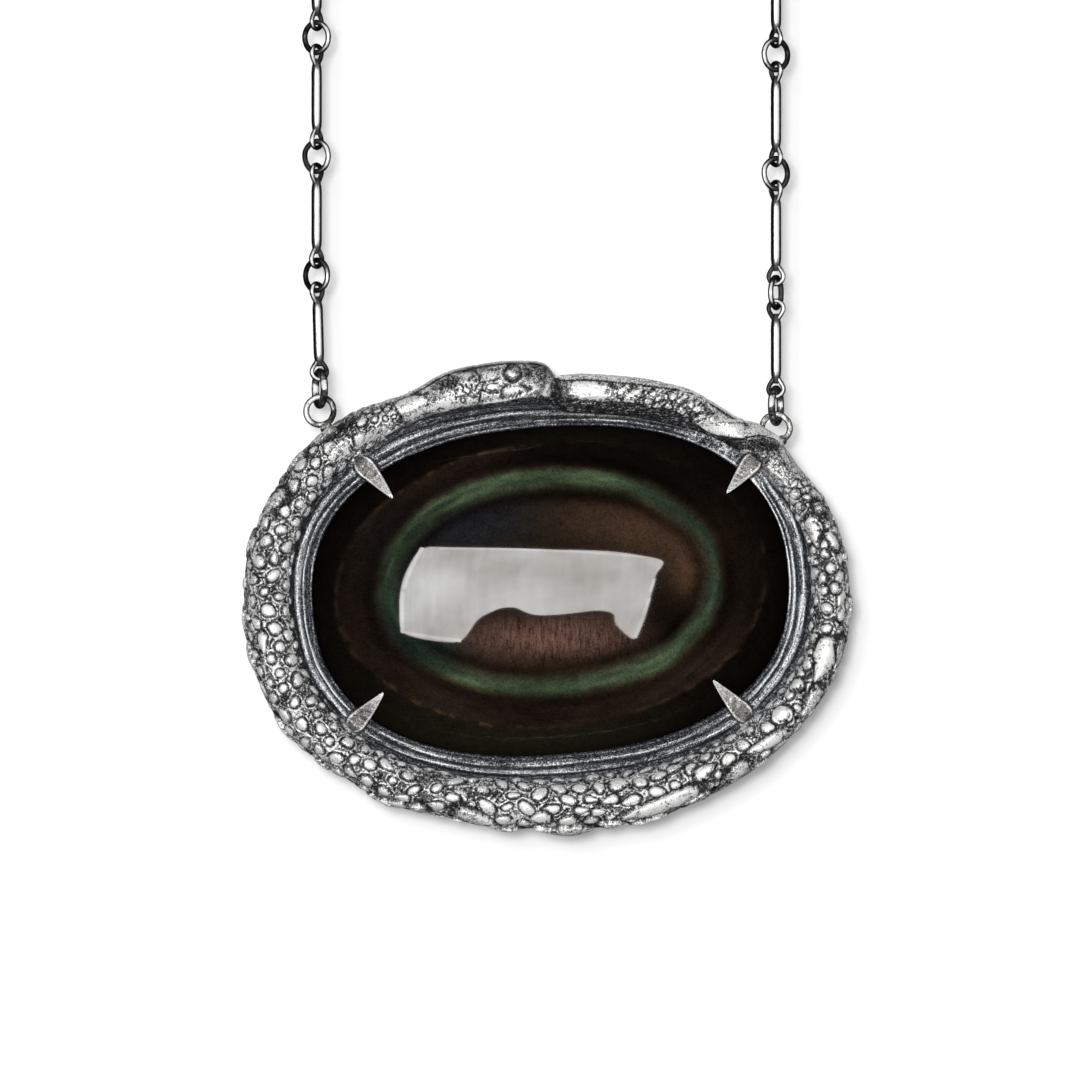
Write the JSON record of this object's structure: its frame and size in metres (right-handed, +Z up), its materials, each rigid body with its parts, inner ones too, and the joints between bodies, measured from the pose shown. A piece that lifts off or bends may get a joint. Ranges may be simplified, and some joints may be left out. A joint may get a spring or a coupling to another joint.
{
  "type": "snake necklace",
  "caption": "Hanging necklace with a large dark oval stone ringed by a scaled silver snake, on a loop of bar-and-ring chain.",
  "frame": {"origin": "the underside of the clasp, at the top of the loop, where the necklace hangs", "axes": "+Z up, +X to the right as seen from the front, +Y towards the back; the stone faces -Y"},
  "size_m": [0.0554, 0.0087, 0.2589],
  "materials": {
    "oxidised_silver": "cast silver, darkened in the hollows and rubbed bright on the raised scales",
    "silver": "polished silver, slightly darkened",
    "dark_stone": "near-black polished dome with faint green and brown bands"
  },
  "bodies": {
    "chain": {"clasp": "silver", "chain_left": "silver", "chain_right": "silver", "jump_ring_left": "silver", "jump_ring_right": "silver"},
    "pendant": {"snake_setting": "oxidised_silver", "stone": "dark_stone"}
  },
  "joints": [
    {"name": "pendant_swing", "type": "hinge", "parent": "chain", "child": "pendant", "pos_m": [-0.02038, 0, -0.21582], "axis": [0.9993, 0, -0.0377], "range_deg": [-60, 60]}
  ]
}
